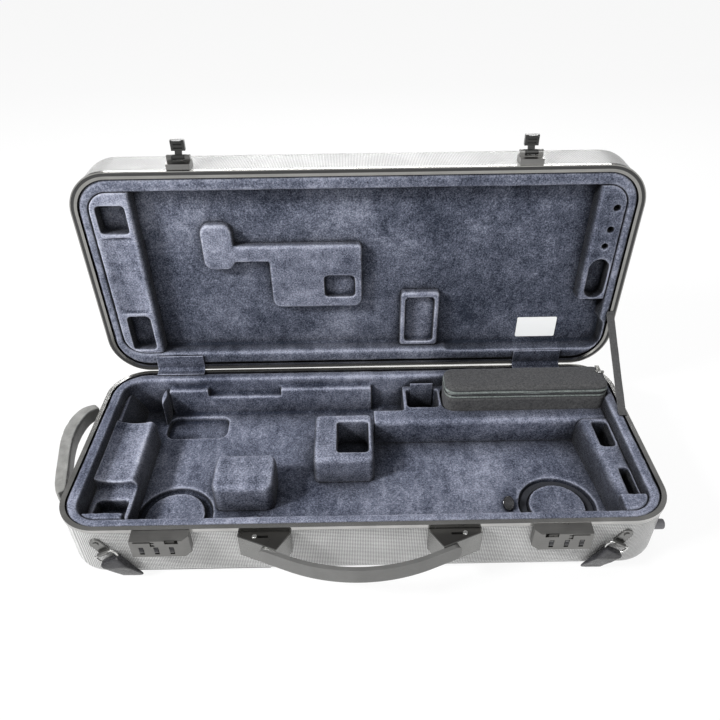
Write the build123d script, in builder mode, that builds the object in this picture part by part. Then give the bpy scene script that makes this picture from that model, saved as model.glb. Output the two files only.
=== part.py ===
"""Hard bassoon case, open: two moulded shells on a rear hinge, with a fitted velvet lining.

Millimetres, +Z up, +X to the right, -Y towards the front with the carrying handle.
The origin is the centre of the flat bottom of the base shell, on the surface it rests on.
The lid is modelled open, square to the base. Lid positions are given as on the closed lid,
with X, Y as on the base and Z as the depth from the rim.
"""

import math
import os

from build123d import *

os.makedirs("parts", exist_ok=True)

# Driving sizes of the case
case_length = 680.0
case_depth = 282.0
base_height = 80.0
lid_height = 65.0
corner_radius = 50.0
edge_radius = 14.0
shell_wall = 3.0
rim_gap = 0.4

# Rim trims, clamped over the edges of the shells
base_trim_width = 5.6
lid_trim_width = 8.5
trim_height = 4.8
trim_reveal = 1.5
trim_cap = 2.8
fit_gap = 0.1

# Rim seal, in a groove of the lid trim
seal_inset = 1.4
seal_width = 3.4
seal_depth = 1.0
seal_proud = 0.2

# Hinges, on an axis behind the rear edge of the rim
hinge_back = 0.6
knuckle_radius = 2.0
pin_radius = 1.0
pin_clearance = 0.05
leaf_thickness = 1.6
leaf_length = 26.0
leaf_start = 2.4
hinge_width = 36.0
knuckle_gap = 0.4
hinge_notch = 2.2
hinge_notch_margin = 2.5
hinge_left_x = 91.0 - case_length / 2
hinge_right_x = case_length / 2 - 97.0

# Lining: a padded lip round a deep floor, and foam blocks under velvet
soft_gap = 0.3
lip_drop = 1.0
lip_round = 3.5
lip_front = 12.4
lip_rear = 14.4
lip_side = 14.4
cavity_radius = 26.0
floor_height = 24.0
block_height = base_height - 16.0
ledge_height = base_height - 18.0
block_round = 6.0
panel_depth = 22.0
lid_lip_step = 7.0
lid_block_depth = 2.0

# Fittings on the front wall, set out from one centre line
fittings_x = -3.0
lock_offset = case_length / 2 - 124.5
hasp_offset = lock_offset - 13.5
plate_gap = 0.2

# Planes and limits that follow from these sizes
hinge_y = case_depth / 2 + hinge_back
hinge_z = base_height
base_down = Plane(origin=(0, 0, base_height), x_dir=(1, 0, 0), z_dir=(0, 0, -1))
lid_plane = Plane(
    origin=(0, hinge_y + rim_gap, hinge_z + hinge_back + case_depth / 2),
    x_dir=(1, 0, 0),
    z_dir=(0, 1, 0),
)
wall_face = case_depth / 2 - trim_reveal
trim_face = case_depth / 2
end_face = case_length / 2 - trim_reveal
cavity_front = -trim_face + base_trim_width + lip_front
cavity_rear = trim_face - base_trim_width - lip_rear
cavity_end = case_length / 2 - base_trim_width - lip_side
lid_cavity_front = cavity_front + lid_lip_step
lid_cavity_rear = cavity_rear - lid_lip_step
lining_bottom = shell_wall

# Accessory pouch, in a well of the ledge at the rear right
pouch_left = 110.0
pouch_right = cavity_end + 6.0
pouch_front = cavity_rear - 53.0
pouch_rear = cavity_rear - 5.0
pouch_bottom = base_height - 42.0
pouch_top = base_height + 17.0
zip_low = base_height
zip_high = base_height + 10.0
pouch_round = 14.0
pouch_edge = 6.0
pouch_clearance = 1.0


def save(builder, name):
    """Name a finished piece and write its file."""
    builder.part.label = name
    export_step(builder.part, f"parts/{name}.step")


def case_outline(inset, mode=Mode.ADD):
    """The plan of the case, drawn in from its outer edge by the inset."""
    RectangleRounded(
        case_length - 2 * inset,
        case_depth - 2 * inset,
        corner_radius - inset,
        mode=mode,
    )


def outline_ring(outer_inset, inner_inset):
    """The band of the case's plan between two insets."""
    case_outline(outer_inset)
    case_outline(inner_inset, mode=Mode.SUBTRACT)


def cavity_outline(inset, rear_sign=1, ends=(cavity_front, cavity_rear)):
    """The plan of a lining's hollow, drawn in by the inset."""
    front, rear = ends
    with Locations((0, rear_sign * (front + rear) / 2)):
        RectangleRounded(
            2 * (cavity_end - inset),
            rear - front - 2 * inset,
            cavity_radius - inset,
        )


def span(low, high, radius=0.0, mode=Mode.ADD):
    """A rectangle between two corners, with rounded corners if a radius is given."""
    width = high[0] - low[0]
    depth = high[1] - low[1]
    with Locations(((low[0] + high[0]) / 2, (low[1] + high[1]) / 2)):
        if radius > 0:
            RectangleRounded(width, depth, radius, mode=mode)
        else:
            Rectangle(width, depth, mode=mode)


def pouch_outline(inset):
    """The plan of the pouch, or of its well."""
    span(
        (pouch_left + inset, pouch_front + inset),
        (pouch_right - inset, pouch_rear - inset),
        pouch_round - inset,
    )


def polygon(*points, mode=Mode.ADD):
    """A straight-sided outline through the points."""
    with BuildLine() as outline:
        Polyline(*points, close=True)
    make_face(outline.edges(), mode=mode)


def farthest(builder, plane):
    """The face of a piece that lies farthest along the plane's Z direction."""
    return builder.faces().sort_by(Axis(plane.origin, plane.z_dir))[-1]


def nearest(builder, plane):
    """The face of a piece that lies least far along the plane's Z direction."""
    return builder.faces().sort_by(Axis(plane.origin, plane.z_dir))[0]


# Shells


def make_shell(plane, height, name):
    """A moulded tray that opens at the rim, with rounded far edges."""
    with BuildPart() as shell:
        with BuildSketch(plane.offset(trim_cap)):
            case_outline(trim_reveal)
        extrude(amount=height - trim_cap)
        fillet(farthest(shell, plane).edges(), edge_radius)
        offset(amount=-shell_wall, openings=nearest(shell, plane))
    save(shell, name)


make_shell(base_down, base_height, "base_shell")
make_shell(lid_plane, lid_height, "lid_shell")


# Rim trims and seal


def make_trim(plane, width, rear_sign, name, with_groove):
    """A metal ring with a slot for the shell's edge and, on the lid, the seal's groove."""
    with BuildPart() as trim:
        with BuildSketch(plane):
            outline_ring(0, width)
        extrude(amount=trim_height)
        with BuildSketch(plane.offset(trim_cap - fit_gap)):
            outline_ring(trim_reveal - fit_gap, trim_reveal + shell_wall + fit_gap)
        extrude(amount=trim_height, mode=Mode.SUBTRACT)
        if with_groove:
            with BuildSketch(plane):
                outline_ring(seal_inset - fit_gap, seal_inset + seal_width + fit_gap)
            extrude(amount=seal_depth, mode=Mode.SUBTRACT)
        with BuildSketch(plane):
            for middle in (hinge_left_x, hinge_right_x):
                with Locations((middle, rear_sign * trim_face)):
                    Rectangle(hinge_width + 2 * hinge_notch_margin, 2 * hinge_notch)
        extrude(amount=hinge_notch, mode=Mode.SUBTRACT)
    save(trim, name)


make_trim(base_down, base_trim_width, -1, "base_rim_trim", False)
make_trim(lid_plane, lid_trim_width, 1, "lid_rim_trim", True)

with BuildPart() as rim_seal:
    with BuildSketch(lid_plane.offset(-seal_proud)):
        outline_ring(seal_inset, seal_inset + seal_width)
    extrude(amount=seal_depth + seal_proud)
save(rim_seal, "rim_seal")

# Base lining

rear_pad_high = base_height - 14.0
rear_pad_low = base_height - 26.0
rear_pads = (
    (56.0 - cavity_end, -210.0, rear_pad_high),
    (-210.0, -110.5, rear_pad_low),
    (-110.5, 15.0, rear_pad_high),
)
rear_pad_depth = 9.0
floor_recess = ((-266.0, cavity_rear - 59.0), (-184.0, cavity_rear - 17.0))
floor_recess_radius = 12.0
floor_recess_depth = 9.0
ring_depth = 7.0
left_disc = (94.0 - cavity_end, cavity_front + 49.0)
left_disc_radius = 36.0
left_disc_ring = 9.0
right_disc = (cavity_end - 86.0, cavity_front + 54.0)
right_disc_radius = 34.0
right_disc_ring = 12.0


def lining_outline(trim_width):
    """The plan of a lining inside a rim trim."""
    case_outline(trim_width + soft_gap)


with BuildPart() as base_lining:
    with BuildSketch(base_down.offset(lip_drop)):
        lining_outline(base_trim_width)
    extrude(amount=base_height - lining_bottom - lip_drop)
    fillet(farthest(base_lining, base_down).edges(), edge_radius)
    with BuildSketch(base_down.offset(lip_drop)):
        cavity_outline(0, -1)
    extrude(amount=base_height - floor_height - lip_drop, mode=Mode.SUBTRACT)
    fillet(nearest(base_lining, base_down).edges(), lip_round)
    with BuildSketch(Plane.XY.offset(pouch_bottom)):
        pouch_outline(-pouch_clearance)
    extrude(amount=base_height, mode=Mode.SUBTRACT)
    for left, right, top in rear_pads:
        with BuildSketch(Plane.XY.offset(floor_height)):
            span((left, cavity_rear - rear_pad_depth), (right, cavity_rear))
        extrude(amount=top - floor_height)
    with BuildSketch(Plane.XY.offset(floor_height - floor_recess_depth)):
        span(*floor_recess, floor_recess_radius)
    extrude(amount=floor_recess_depth, mode=Mode.SUBTRACT)
    for centre, radius, ring in (
        (left_disc, left_disc_radius, left_disc_ring),
        (right_disc, right_disc_radius, right_disc_ring),
    ):
        with BuildSketch(Plane.XY.offset(floor_height - ring_depth)):
            with Locations(centre):
                Circle(radius + ring)
                Circle(radius, mode=Mode.SUBTRACT)
        extrude(amount=ring_depth, mode=Mode.SUBTRACT)
save(base_lining, "base_lining")

# Foam blocks of the base, under velvet

left_block_edge = 51.0 - cavity_end
left_block_rear = cavity_rear - 66.0
left_step_y = cavity_front + 72.0
left_rise_top = base_height - 2.5
left_rise_foot = 26.0
left_step_height = base_height - 28.0
saddle_radius = 55.0
saddle_depth = 4.0
front_pocket = (
    (8.0 - cavity_end, cavity_front + 11.0),
    (45.0 - cavity_end, cavity_front + 51.0),
)
pocket_height = floor_height + 10.0
pocket_radius = 5.0

with BuildPart() as left_end_block:
    with BuildSketch(Plane.XY.offset(floor_height)):
        cavity_outline(soft_gap)
        span(
            (-cavity_end, cavity_front),
            (left_block_edge, left_block_rear),
            mode=Mode.INTERSECT,
        )
    extrude(amount=block_height - floor_height)
    fillet(farthest(left_end_block, Plane.XY).edges().sort_by(Axis.X)[-1], 2 * block_round)
    with BuildSketch(Plane.XY.offset(left_step_height)):
        span((-cavity_end, cavity_front), (left_block_edge, left_step_y))
    extrude(amount=block_height, mode=Mode.SUBTRACT)
    with BuildSketch(Plane.XZ.offset(-left_block_rear)):
        polygon(
            (soft_gap - cavity_end, floor_height),
            (left_rise_foot - cavity_end, floor_height),
            (left_rise_foot - cavity_end, block_height),
            (soft_gap - cavity_end, left_rise_top),
        )
    extrude(amount=left_block_rear - left_step_y)
    saddle_x = (left_block_edge - cavity_end) / 2
    with BuildSketch(Plane.XZ.offset(-left_block_rear)):
        with Locations((saddle_x, block_height + saddle_radius - saddle_depth)):
            Circle(saddle_radius)
    extrude(amount=left_block_rear - left_step_y, mode=Mode.SUBTRACT)
    with BuildSketch(Plane.XY.offset(pocket_height)):
        span(*front_pocket, pocket_radius)
    extrude(amount=block_height, mode=Mode.SUBTRACT)
save(left_end_block, "left_end_block")

wedge_foot = 20.0
wedge_head = 5.0
fin_x = 51.5 - cavity_end
fin_thickness = 7.0
fin_front = cavity_rear - 33.0
fin_round = 1.75

with BuildPart() as rear_left_foams:
    with BuildSketch(Plane.XY.offset(floor_height)):
        cavity_outline(soft_gap)
        span(
            (-cavity_end, left_block_rear + soft_gap),
            (wedge_foot - cavity_end, cavity_rear),
            mode=Mode.INTERSECT,
        )
    extrude(amount=block_height - floor_height)
    with BuildSketch(Plane.XZ.offset(-left_block_rear)):
        with BuildLine():
            Polyline(
                (-cavity_end, floor_height),
                (wedge_foot - cavity_end, floor_height),
                (wedge_head - cavity_end, block_height),
                (-cavity_end, block_height),
                close=True,
            )
        make_face()
    extrude(amount=left_block_rear - cavity_rear, mode=Mode.INTERSECT)
    with BuildSketch(Plane.XY.offset(floor_height)):
        fin_rear = cavity_rear - soft_gap
        fin_middle = (fin_front + fin_rear) / 2
        with BuildLine():
            ThreePointArc(
                (fin_x, fin_front),
                (fin_x + fin_thickness / 2, fin_middle),
                (fin_x, fin_rear),
            )
            ThreePointArc(
                (fin_x, fin_rear),
                (fin_x - fin_thickness / 2, fin_middle),
                (fin_x, fin_front),
            )
        make_face()
    extrude(amount=block_height - floor_height)
    fin_tops = rear_left_foams.faces().filter_by(Plane.XY).group_by(Axis.Z)[-1]
    fillet(fin_tops.sort_by(Axis.X)[-1].edges(), fin_round)
save(rear_left_foams, "rear_left_foams")

ledge_left = 16.0
ledge_front = cavity_rear - 76.0
ledge_step_x = 57.0
ledge_step_y = cavity_rear - 52.0
square_pocket = ((62.0, cavity_rear - 46.0), (104.0, cavity_rear - 8.0))

with BuildPart() as rear_ledge:
    with BuildSketch(Plane.XY.offset(floor_height)):
        cavity_outline(soft_gap)
        span((ledge_left, ledge_front), (cavity_end, cavity_rear), mode=Mode.INTERSECT)
        span((ledge_left, ledge_step_y), (ledge_step_x, cavity_rear), mode=Mode.SUBTRACT)
    extrude(amount=ledge_height - floor_height)
    fillet(farthest(rear_ledge, Plane.XY).edges().sort_by(Axis.Y)[0], block_round)
    with BuildSketch(Plane.XY.offset(floor_height)):
        span(*square_pocket, pocket_radius)
    extrude(amount=block_height, mode=Mode.SUBTRACT)
    with BuildSketch(Plane.XY.offset(pouch_bottom)):
        pouch_outline(-pouch_clearance)
    extrude(amount=block_height, mode=Mode.SUBTRACT)
save(rear_ledge, "rear_ledge")

right_block_rear_x = cavity_end - 40.0
right_block_front_x = cavity_end - 26.0
right_pockets = (
    ((cavity_end - 23.0, ledge_front - 53.0), (cavity_end - 4.0, ledge_front - 7.0)),
    ((cavity_end - 14.0, cavity_front + 27.0), (cavity_end - 3.0, cavity_front + 78.0)),
)

with BuildPart() as right_end_block:
    with BuildSketch(Plane.XY.offset(floor_height)):
        right_block_rear = ledge_front - soft_gap
        cavity_outline(soft_gap)
        with BuildLine():
            Polyline(
                (right_block_rear_x, right_block_rear),
                (cavity_end, right_block_rear),
                (cavity_end, cavity_front),
                (right_block_front_x, cavity_front),
                close=True,
            )
        make_face(mode=Mode.INTERSECT)
    extrude(amount=block_height - floor_height)
    fillet(farthest(right_end_block, Plane.XY).edges().sort_by(Axis.X)[0], 2 * block_round)
    with BuildSketch(Plane.XY.offset(pocket_height)):
        for pocket in right_pockets:
            span(*pocket, pocket_radius)
    extrude(amount=block_height, mode=Mode.SUBTRACT)
save(right_end_block, "right_end_block")

notched_block_plan = ((-61.0, -25.0), (14.5, 61.0))
notch_plan = ((-32.0, -11.0), (8.0, 46.0))
notched_corner = 8.0

with BuildPart() as notched_block:
    with BuildSketch(Plane.XY.offset(floor_height)):
        span(*notched_block_plan, notched_corner)
    extrude(amount=block_height - floor_height)
    fillet(farthest(notched_block, Plane.XY).edges(), block_round)
    with BuildSketch(Plane.XY.offset(floor_height)):
        span(*notch_plan, pocket_radius)
    extrude(amount=block_height, mode=Mode.SUBTRACT)
save(notched_block, "notched_block")

small_block_plan = ((-180.0, -69.0), (-106.0, -11.0))
small_corner = 12.0

with BuildPart() as small_block:
    with BuildSketch(Plane.XY.offset(floor_height)):
        span(*small_block_plan, small_corner)
    extrude(amount=block_height - floor_height)
    fillet(farthest(small_block, Plane.XY).edges(), block_round)
save(small_block, "small_block")

# Retaining strap and its clip, in the ring at the front right

strap_thickness = 2.5
strap_inset = 2.0
clip_length = 18.0
clip_width = 14.0
clip_thickness = 3.0
clip_lean = 50.0

with BuildPart() as ring_strap:
    with BuildSketch(Plane.XY.offset(floor_height - ring_depth)):
        with Locations(right_disc):
            Circle(right_disc_radius + right_disc_ring - strap_inset)
            Circle(right_disc_radius + strap_inset, mode=Mode.SUBTRACT)
    extrude(amount=strap_thickness)
save(ring_strap, "ring_strap")

clip_seat = clip_length / 2 * math.cos(math.radians(clip_lean))
clip_x = right_disc[0] - right_disc_radius - right_disc_ring - clip_width
clip_plane = Plane(
    origin=(clip_x, right_disc[1], floor_height + clip_seat),
    x_dir=(1, 0, 0),
    z_dir=(0, -math.cos(math.radians(clip_lean)), math.sin(math.radians(clip_lean))),
)

with BuildPart() as strap_clip:
    with BuildSketch(clip_plane):
        Ellipse(clip_width / 2, clip_length / 2)
    extrude(amount=clip_thickness)
    fillet(farthest(strap_clip, clip_plane).edges(), clip_thickness / 3)
save(strap_clip, "strap_clip")

snap_x = -116.0
snap_z = base_height - 9.0
snap_radius = 3.0
snap_height = 4.0

with BuildPart() as snap_stud:
    with BuildSketch(Plane.XZ.offset(-cavity_front)):
        with Locations((snap_x, snap_z)):
            Circle(snap_radius)
    extrude(amount=-snap_height)
save(snap_stud, "snap_stud")

# Accessory pouch, its zip and the zip's pull

zip_inset = 1.5


with BuildPart() as pouch_body:
    with BuildSketch(Plane.XY.offset(pouch_bottom + soft_gap)):
        pouch_outline(0)
    extrude(amount=zip_low - pouch_bottom - soft_gap)
    fillet(nearest(pouch_body, Plane.XY).edges(), pouch_edge / 2)
save(pouch_body, "pouch_body")

with BuildPart() as pouch_zip:
    with BuildSketch(Plane.XY.offset(zip_low)):
        pouch_outline(zip_inset)
    extrude(amount=zip_high - zip_low)
save(pouch_zip, "pouch_zip")

with BuildPart() as pouch_cover:
    with BuildSketch(Plane.XY.offset(zip_high)):
        pouch_outline(0)
    extrude(amount=pouch_top - zip_high)
    fillet(farthest(pouch_cover, Plane.XY).edges(), pouch_edge)
save(pouch_cover, "pouch_cover")

pull_pin_x = pouch_right - 8.0
pull_pin_y = pouch_rear - 19.0
pull_width = 5.0
pull_length = 14.0
pull_thickness = 1.4
pull_post = 3.0

with BuildPart() as zip_slider:
    with BuildSketch(Plane.XY.offset(pouch_top)):
        with Locations((pull_pin_x, pull_pin_y)):
            Rectangle(pull_width + 2 * pull_post, pull_post)
    extrude(amount=pull_post)
    with BuildSketch(Plane.XY.offset(pouch_top)):
        with Locations((pull_pin_x, pull_pin_y)):
            Rectangle(pull_width + 2 * fit_gap, pull_post)
    extrude(amount=pull_post, mode=Mode.SUBTRACT)
    with BuildSketch(Plane.YZ.offset(pull_pin_x - pull_width / 2 - pull_post)):
        with Locations((pull_pin_y, pouch_top + pull_post / 2)):
            Circle(pull_thickness / 2 - pin_clearance)
    extrude(amount=pull_width + 2 * pull_post)
save(zip_slider, "zip_slider")

with BuildPart() as zip_pull:
    with BuildSketch(Plane.YZ.offset(pull_pin_x - pull_width / 2)):
        with Locations((pull_pin_y, pouch_top + pull_post / 2)):
            Circle(pull_post / 2 - 2 * pin_clearance)
        with BuildLine():
            pull_low = pouch_top + pull_post / 2 - pull_thickness / 2
            Polyline(
                (pull_pin_y, pull_low),
                (pull_pin_y + pull_length, pull_low),
                (pull_pin_y + pull_length, pull_low + pull_thickness),
                (pull_pin_y, pull_low + pull_thickness),
                close=True,
            )
        make_face()
        with Locations((pull_pin_y, pouch_top + pull_post / 2)):
            Circle(pull_thickness / 2, mode=Mode.SUBTRACT)
    extrude(amount=pull_width)
save(zip_pull, "zip_pull")

# Lid lining

panel_line = (
    (4.0, -36.0),
    (60.0, -40.0),
    (101.0, -57.0),
    (169.0, -61.0),
    (171.0, -102.0),
)
panel_line_width = 3.0
panel_line_depth = 2.0
panel_line_radius = 8.0

with BuildPart() as lid_lining:
    with BuildSketch(lid_plane.offset(lip_drop)):
        lining_outline(lid_trim_width)
    extrude(amount=lid_height - lining_bottom - lip_drop)
    fillet(farthest(lid_lining, lid_plane).edges(), edge_radius)
    with BuildSketch(lid_plane.offset(lip_drop)):
        cavity_outline(0, ends=(lid_cavity_front, lid_cavity_rear))
    extrude(amount=panel_depth - lip_drop, mode=Mode.SUBTRACT)
    fillet(nearest(lid_lining, lid_plane).edges(), lip_round)
    with BuildSketch(lid_plane):
        pouch_outline(-pouch_clearance)
    extrude(amount=panel_depth, mode=Mode.SUBTRACT)
    with BuildSketch(lid_plane.offset(panel_depth)):
        with BuildLine():
            FilletPolyline(*panel_line, radius=panel_line_radius)
        trace(line_width=panel_line_width)
    extrude(amount=panel_line_depth, mode=Mode.SUBTRACT)
save(lid_lining, "lid_lining")

# Foam blocks of the lid

lid_pockets = (
    ((8.0 - cavity_end, lid_cavity_front + 17.0), (43.0 - cavity_end, lid_cavity_front + 53.0)),
    ((12.0 - cavity_end, lid_cavity_rear - 59.0), (42.0 - cavity_end, lid_cavity_rear - 6.0)),
)
lid_left_edge = 52.0 - cavity_end
lid_saddle_depth = 4.0
pocket_base = 3.0

with BuildPart() as lid_left_block:
    with BuildSketch(lid_plane.offset(lid_block_depth)):
        cavity_outline(soft_gap, ends=(lid_cavity_front, lid_cavity_rear))
        span(
            (-cavity_end, lid_cavity_front),
            (lid_left_edge, lid_cavity_rear),
            mode=Mode.INTERSECT,
        )
    extrude(amount=panel_depth - lid_block_depth)
    near_edges = nearest(lid_left_block, lid_plane).edges()
    fillet(near_edges.sort_by(Axis.X)[-1], block_round)
    with BuildSketch(lid_plane):
        for pocket in lid_pockets:
            span(*pocket, pocket_radius)
    extrude(amount=panel_depth - pocket_base, mode=Mode.SUBTRACT)
    lid_saddle_x = (lid_left_edge - cavity_end) / 2
    saddle_plane = Plane(
        origin=(lid_saddle_x, lid_plane.origin.Y, lid_plane.origin.Z),
        x_dir=(1, 0, 0),
        z_dir=(0, 0, -1),
    )
    saddle_low = lid_pockets[0][1][1] + pocket_radius
    saddle_high = lid_pockets[1][0][1] - pocket_radius
    with BuildSketch(saddle_plane.offset(saddle_low)):
        with Locations((0, saddle_radius - lid_block_depth - lid_saddle_depth)):
            Circle(saddle_radius)
    extrude(amount=saddle_high - saddle_low, mode=Mode.SUBTRACT)
save(lid_left_block, "lid_left_block")

lid_right_plan = ((cavity_end - 36.0, lid_cavity_front), (cavity_end, lid_cavity_rear - 75.0))
oval_pocket = (cavity_end - 16.0, lid_cavity_rear - 105.0)
oval_length = 56.0
oval_width = 24.0
bump_holes = (
    (cavity_end - 11.0, lid_cavity_front + 29.0),
    (cavity_end - 13.0, lid_cavity_front + 57.0),
    (cavity_end - 15.0, lid_cavity_front + 79.0),
)
bump_hole_radius = 4.0

with BuildPart() as lid_right_block:
    with BuildSketch(lid_plane.offset(lid_block_depth)):
        cavity_outline(soft_gap, ends=(lid_cavity_front, lid_cavity_rear))
        span(*lid_right_plan, mode=Mode.INTERSECT)
    extrude(amount=panel_depth - lid_block_depth)
    near_edges = nearest(lid_right_block, lid_plane).edges()
    fillet(near_edges.sort_by(Axis.X)[0], block_round)
    with BuildSketch(lid_plane):
        with Locations(oval_pocket):
            SlotOverall(oval_length, oval_width, rotation=90)
        with Locations(*bump_holes):
            Circle(bump_hole_radius)
    extrude(amount=panel_depth - pocket_base, mode=Mode.SUBTRACT)
save(lid_right_block, "lid_right_block")

rest_depth = 10.0
rest_knob = ((-196.0, -69.0), (-156.0, -8.0))
rest_bar = ((-170.0, -40.0), (4.0, -18.0))
rest_foot = ((-114.0, -28.0), (4.0, 49.0))
rest_pocket = ((-45.0, 3.0), (-6.0, 34.0))
rest_corner = 12.0
pocket_pad_plan = ((54.0, 30.0), (106.0, lid_cavity_rear - soft_gap))
pocket_pad_rim = 7.0

with BuildPart() as lid_pads:
    with BuildSketch(lid_plane.offset(rest_depth)):
        span(*rest_knob, rest_corner)
        span(*rest_bar, pocket_radius)
        span(*rest_foot, rest_corner)
    extrude(amount=panel_depth - rest_depth)
    fillet(nearest(lid_pads, lid_plane).edges(), block_round / 2)
    with BuildSketch(lid_plane):
        span(*rest_pocket, pocket_radius)
    extrude(amount=panel_depth - pocket_base, mode=Mode.SUBTRACT)
    with BuildSketch(lid_plane.offset(rest_depth)):
        span(*pocket_pad_plan, pocket_radius)
    extrude(amount=panel_depth - rest_depth)
    pad_tops = lid_pads.faces().filter_by(lid_plane).group_by(Axis(lid_plane.origin, lid_plane.z_dir))[0]
    fillet(pad_tops.sort_by(Axis.X)[-1].edges(), block_round / 2)
    with BuildSketch(lid_plane):
        low, high = pocket_pad_plan
        span(
            (low[0] + pocket_pad_rim, low[1] + pocket_pad_rim),
            (high[0] - pocket_pad_rim, high[1] - pocket_pad_rim),
            pocket_radius,
        )
    extrude(amount=panel_depth - pocket_base, mode=Mode.SUBTRACT)
save(lid_pads, "lid_pads")

label_plan = (
    (cavity_end - 104.0, lid_cavity_rear - 36.0),
    (cavity_end - 50.0, lid_cavity_rear - 5.0),
)
label_thickness = 0.8
label_radius = 2.0

with BuildPart() as label_plate:
    with BuildSketch(lid_plane.offset(panel_depth - label_thickness)):
        span(*label_plan, label_radius)
    extrude(amount=label_thickness)
save(label_plate, "label_plate")

# Hinges: a leaf on each shell's rear wall, knuckles and a pin

pin_head_radius = 1.8
pin_head_length = 1.5
leaf_foot = wall_face - hinge_y
leaf_face = trim_face + plate_gap - hinge_y
leaf_back = leaf_face + leaf_thickness
leaf_top = -trim_height - rim_gap - plate_gap
leaf_end = leaf_top - leaf_length
arm_low = -leaf_start - leaf_thickness / 2
middle_knuckle = hinge_width / 3


def leaf_point(along, down, on_lid):
    """A point of a leaf's section, given from the axis, on the base or mirrored to the lid."""
    if on_lid:
        return (hinge_y - down, hinge_z - along)
    return (hinge_y + along, hinge_z + down)


def leaf_section(on_lid):
    """The section of a leaf, from the wall over the trim to the rim."""
    points = (
        (leaf_foot, leaf_top),
        (leaf_face, leaf_top),
        (leaf_face, -leaf_start),
        (leaf_back, -leaf_start),
        (leaf_back, leaf_end),
        (leaf_foot, leaf_end),
    )
    polygon(*[leaf_point(*point, on_lid) for point in points])


def arm_section(on_lid, bore):
    """The section of a knuckle with the arm that joins it to its leaf."""
    points = (
        (leaf_face, 0),
        (leaf_back, 0),
        (leaf_back, arm_low),
        (leaf_face, arm_low),
    )
    polygon(*[leaf_point(*point, on_lid) for point in points])
    with Locations((hinge_y, hinge_z)):
        Circle(knuckle_radius)
        Circle(bore, mode=Mode.SUBTRACT)


with BuildPart() as hinge_base_leaves:
    for middle in (hinge_left_x, hinge_right_x):
        with BuildSketch(Plane.YZ.offset(middle - hinge_width / 2)):
            leaf_section(False)
        extrude(amount=hinge_width)
        with BuildSketch(
            Plane.YZ.offset(middle - hinge_width / 2),
            Plane.YZ.offset(middle + middle_knuckle / 2 + knuckle_gap / 2),
        ):
            arm_section(False, pin_radius)
        extrude(amount=middle_knuckle - knuckle_gap / 2)
save(hinge_base_leaves, "hinge_base_leaves")

with BuildPart() as hinge_lid_leaves:
    for middle in (hinge_left_x, hinge_right_x):
        with BuildSketch(Plane.YZ.offset(middle - hinge_width / 2)):
            leaf_section(True)
        extrude(amount=hinge_width)
        with BuildSketch(Plane.YZ.offset(middle - middle_knuckle / 2 + knuckle_gap / 2)):
            arm_section(True, pin_radius + pin_clearance)
        extrude(amount=middle_knuckle - knuckle_gap)
save(hinge_lid_leaves, "hinge_lid_leaves")

with BuildPart() as hinge_pins:
    for middle in (hinge_left_x, hinge_right_x):
        with BuildSketch(Plane.YZ.offset(middle - hinge_width / 2)):
            with Locations((hinge_y, hinge_z)):
                Circle(pin_radius)
        extrude(amount=hinge_width)
        with BuildSketch(
            Plane.YZ.offset(middle - hinge_width / 2 - pin_head_length),
            Plane.YZ.offset(middle + hinge_width / 2),
        ):
            with Locations((hinge_y, hinge_z)):
                Circle(pin_head_radius)
        extrude(amount=pin_head_length)
save(hinge_pins, "hinge_pins")

# Velvet flaps over the hinges, from the base's trim to the lid's

flap_spans = (
    (hinge_left_x - 32.0, hinge_left_x + 33.0),
    (hinge_right_x - 32.0, hinge_right_x + 33.0),
)
flap_thickness = 1.2
flap_front = hinge_y - 11.6
flap_bend = hinge_y - 5.6
flap_rise = hinge_z + 6.0
flap_top = hinge_z + 24.0

with BuildPart() as hinge_flaps:
    flap_back = hinge_y + rim_gap - seal_proud - fit_gap
    for left, right in flap_spans:
        with BuildSketch(Plane.YZ.offset(left)):
            with BuildLine():
                Polyline((flap_front, hinge_z), (flap_bend, hinge_z))
                ThreePointArc(
                    (flap_bend, hinge_z),
                    ((flap_bend + 2 * flap_back) / 3, (2 * hinge_z + flap_rise) / 3),
                    (flap_back, flap_rise),
                )
                Polyline(
                    (flap_back, flap_rise),
                    (flap_back, flap_top),
                    (flap_back - flap_thickness, flap_top),
                    (flap_back - flap_thickness, flap_rise),
                )
                ThreePointArc(
                    (flap_back - flap_thickness, flap_rise),
                    (
                        (flap_bend + 2 * flap_back) / 3 - flap_thickness,
                        (2 * hinge_z + flap_rise) / 3 + flap_thickness,
                    ),
                    (flap_bend, hinge_z + flap_thickness),
                )
                Polyline(
                    (flap_bend, hinge_z + flap_thickness),
                    (flap_front, hinge_z + flap_thickness),
                    (flap_front, hinge_z),
                )
            make_face()
        extrude(amount=right - left)
save(hinge_flaps, "hinge_flaps")

# Webbing stay at the right, from the base's trim to the lid's

stay_left = case_length / 2 - 12.5
stay_width = 10.0
stay_thickness = 1.2
stay_foot_y = 35.0
stay_head_z = hinge_z + 80.0
stay_landing = 5.0

with BuildPart() as stay_strap:
    stay_back = hinge_y + rim_gap - seal_proud - fit_gap
    with BuildSketch(Plane.YZ.offset(stay_left)):
        with BuildLine():
            Polyline(
                (stay_foot_y - stay_landing, hinge_z),
                (stay_foot_y + stay_thickness, hinge_z),
                (stay_back, stay_head_z - stay_thickness),
                (stay_back, stay_head_z + stay_landing),
                (stay_back - stay_thickness, stay_head_z + stay_landing),
                (stay_back - stay_thickness, stay_head_z),
                (stay_foot_y, hinge_z + stay_thickness),
                (stay_foot_y - stay_landing, hinge_z + stay_thickness),
                close=True,
            )
        make_face()
    extrude(amount=stay_width)
save(stay_strap, "stay_strap")

# Combination locks on the front wall, one for each side

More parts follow.
